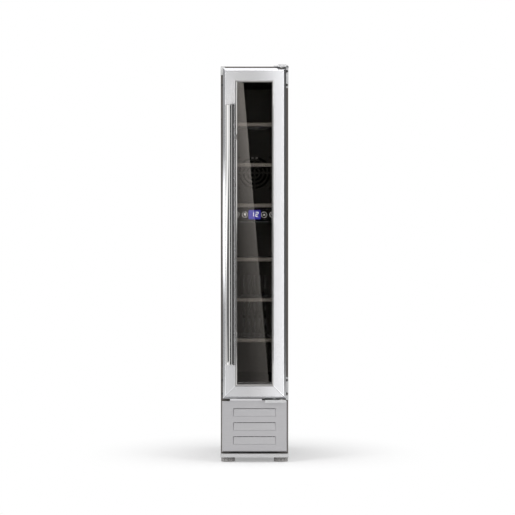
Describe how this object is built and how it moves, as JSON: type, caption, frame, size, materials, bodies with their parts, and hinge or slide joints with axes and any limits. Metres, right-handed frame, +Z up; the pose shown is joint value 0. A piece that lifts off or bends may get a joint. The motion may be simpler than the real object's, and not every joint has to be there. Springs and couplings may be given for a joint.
{
  "type": "wine cooler",
  "caption": "Slim under-counter wine cooler with a framed glass door, tubular bar handle, wire shelves, inner display, louvred kick panel and levelling feet.",
  "frame": {"origin": "on the floor, under the centre of the bounding box", "axes": "+Z up; the door faces -Y and is hinged on the +X side; +X to the right seen from the front"},
  "size_m": [0.149, 0.57, 0.87],
  "materials": {
    "dark_paint": "satin",
    "zinc_sheet": "satin",
    "grey_paint": "satin",
    "dark_liner": "satin",
    "foam": "matte",
    "brushed_steel": "satin",
    "polished_steel": "polished",
    "hinge_metal": "satin",
    "dark_screw": "satin",
    "grey_plastic": "satin",
    "dark_moulding": "satin",
    "black_plastic": "satin",
    "gloss_black": "gloss",
    "display": "gloss",
    "lamp": "gloss",
    "key_cap": "gloss",
    "aluminium": "satin",
    "sensor_metal": "gloss",
    "compressor_paint": "gloss",
    "copper_line": "satin",
    "rubber": "matte",
    "door_moulding": "satin",
    "tinted_glass": "gloss",
    "clear_glass": "gloss",
    "spacer_metal": "satin",
    "gasket_rubber": "matte",
    "white_nylon": "satin",
    "foot_plastic": "satin",
    "chrome_wire": "gloss",
    "trim_metal": "satin"
  },
  "bodies": {
    "cabinet": {"left_side_panel": "dark_paint", "right_side_panel": "dark_paint", "top_panel": "dark_paint", "rear_panel": "zinc_sheet", "deck_plate": "zinc_sheet", "base_tray": "grey_paint", "machine_cover": "zinc_sheet", "inner_liner": "dark_liner", "foam_insulation": "foam", "kick_panel": "brushed_steel", "top_hinge_bracket": "hinge_metal", "bottom_hinge_bracket": "hinge_metal", "hinge_screws": "dark_screw", "corner_cap": "grey_plastic", "duct_cover": "dark_moulding", "fan_housing": "black_plastic", "evaporator": "aluminium", "temperature_sensor": "sensor_metal", "control_box": "black_plastic", "control_fascia": "gloss_black", "display_window": "display", "lamp_lens": "lamp", "compressor": "compressor_paint", "compressor_mounts": "rubber", "condenser_coil": "aluminium", "condenser_fan_housing": "black_plastic", "refrigerant_lines": "copper_line", "board_housing": "grey_plastic", "cord_gland": "rubber"},
    "door": {"door_frame": "brushed_steel", "door_liner": "door_moulding", "outer_glass": "tinted_glass", "glass_spacer": "spacer_metal", "inner_glass": "clear_glass", "door_gasket": "gasket_rubber", "handle_bar": "polished_steel", "handle_posts": "polished_steel", "hinge_bushes": "white_nylon"},
    "shelf_1": {"shelf_rack_1": "chrome_wire", "shelf_trim_1": "trim_metal"},
    "shelf_2": {"shelf_rack_2": "chrome_wire", "shelf_trim_2": "trim_metal"},
    "shelf_3": {"shelf_rack_3": "chrome_wire", "shelf_trim_3": "trim_metal"},
    "shelf_4": {"shelf_rack_4": "chrome_wire", "shelf_trim_4": "trim_metal"},
    "shelf_5": {"shelf_rack_5": "chrome_wire", "shelf_trim_5": "trim_metal"},
    "shelf_6": {"shelf_rack_6": "chrome_wire", "shelf_trim_6": "trim_metal"},
    "power_key_cap": {"power_key": "key_cap"},
    "light_key_cap": {"light_key": "key_cap"},
    "up_key_cap": {"up_key": "key_cap"},
    "down_key_cap": {"down_key": "key_cap"},
    "fan": {"fan_rotor": "black_plastic"},
    "condenser_fan": {"condenser_fan_rotor": "black_plastic"},
    "levelling_foot_front_left": {"foot_front_left": "foot_plastic"},
    "levelling_foot_front_right": {"foot_front_right": "foot_plastic"},
    "levelling_foot_rear_left": {"foot_rear_left": "foot_plastic"},
    "levelling_foot_rear_right": {"foot_rear_right": "foot_plastic"}
  },
  "joints": [
    {"name": "door_hinge", "type": "hinge", "parent": "cabinet", "child": "door", "pos_m": [0.059, -0.228, 0.5], "axis": [0, 0, 1], "range_deg": [0, 110]},
    {"name": "shelf_1_slide", "type": "slide", "parent": "cabinet", "child": "shelf_1", "axis": [0, -1, 0], "range_m": [0, 0.01]},
    {"name": "shelf_2_slide", "type": "slide", "parent": "cabinet", "child": "shelf_2", "axis": [0, -1, 0], "range_m": [0, 0.01]},
    {"name": "shelf_3_slide", "type": "slide", "parent": "cabinet", "child": "shelf_3", "axis": [0, -1, 0], "range_m": [0, 0.01]},
    {"name": "shelf_4_slide", "type": "slide", "parent": "cabinet", "child": "shelf_4", "axis": [0, -1, 0], "range_m": [0, 0.01]},
    {"name": "shelf_5_slide", "type": "slide", "parent": "cabinet", "child": "shelf_5", "axis": [0, -1, 0], "range_m": [0, 0.01]},
    {"name": "shelf_6_slide", "type": "slide", "parent": "cabinet", "child": "shelf_6", "axis": [0, -1, 0], "range_m": [0, 0.01]},
    {"name": "power_key_push", "type": "slide", "parent": "cabinet", "child": "power_key_cap", "axis": [0, 1, 0], "range_m": [0, 0.001], "stiffness_N_per_m": 800},
    {"name": "light_key_push", "type": "slide", "parent": "cabinet", "child": "light_key_cap", "axis": [0, 1, 0], "range_m": [0, 0.001], "stiffness_N_per_m": 800},
    {"name": "up_key_push", "type": "slide", "parent": "cabinet", "child": "up_key_cap", "axis": [0, 1, 0], "range_m": [0, 0.001], "stiffness_N_per_m": 800},
    {"name": "down_key_push", "type": "slide", "parent": "cabinet", "child": "down_key_cap", "axis": [0, 1, 0], "range_m": [0, 0.001], "stiffness_N_per_m": 800},
    {"name": "fan_spin", "type": "hinge", "parent": "cabinet", "child": "fan", "pos_m": [0, 0.2, 0.638], "axis": [0, -1, 0], "continuous": true},
    {"name": "condenser_fan_spin", "type": "hinge", "parent": "cabinet", "child": "condenser_fan", "pos_m": [0, -0.11, 0.074], "axis": [0, -1, 0], "continuous": true},
    {"name": "foot_front_left_thread", "type": "slide", "parent": "cabinet", "child": "levelling_foot_front_left", "axis": [0, 0, -1], "range_m": [0, 0.02]},
    {"name": "foot_front_right_thread", "type": "slide", "parent": "cabinet", "child": "levelling_foot_front_right", "axis": [0, 0, -1], "range_m": [0, 0.02]},
    {"name": "foot_rear_left_thread", "type": "slide", "parent": "cabinet", "child": "levelling_foot_rear_left", "axis": [0, 0, -1], "range_m": [0, 0.02]},
    {"name": "foot_rear_right_thread", "type": "slide", "parent": "cabinet", "child": "levelling_foot_rear_right", "axis": [0, 0, -1], "range_m": [0, 0.02]}
  ]
}
